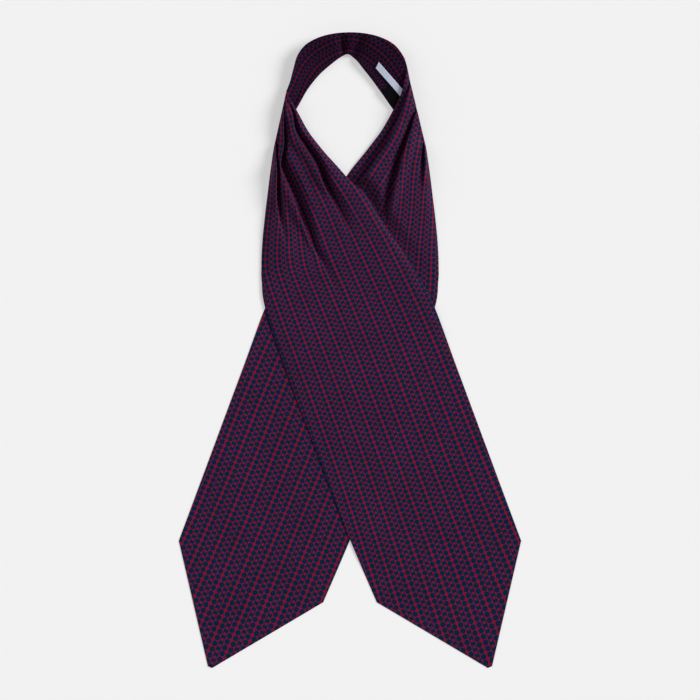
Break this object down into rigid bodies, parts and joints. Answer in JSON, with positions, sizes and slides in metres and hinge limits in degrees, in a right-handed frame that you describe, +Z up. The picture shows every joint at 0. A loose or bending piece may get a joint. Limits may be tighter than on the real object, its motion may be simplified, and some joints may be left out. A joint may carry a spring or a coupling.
{
  "type": "silk cravat",
  "caption": "Silk cravat laid flat: a narrow neckband with its inside up turns over at the sides of the neck into pleated, pointed blades that cross below the neck opening.",
  "frame": {"origin": "on the table, under the middle of the cravat's outline", "axes": "+X to the wearer's left as the cravat lies, +Y from the blades' points to the neckband, +Z up from the table to the front of the cloth"},
  "size_m": [0.3082, 0.5724, 0.016],
  "materials": {
    "silk": "printed silk twill, crimson ground with navy dots, soft sheen",
    "silk_inside": "inside of the printed silk, darker and more matt",
    "pale_label": "pale woven label, bare",
    "black_label": "black woven label, bare"
  },
  "bodies": {
    "root": {"neckband": "silk_inside", "over_pleats": "silk", "over_blade": "silk", "under_pleats": "silk", "under_blade": "silk", "maker_label": "pale_label", "care_label": "black_label"}
  },
  "joints": []
}
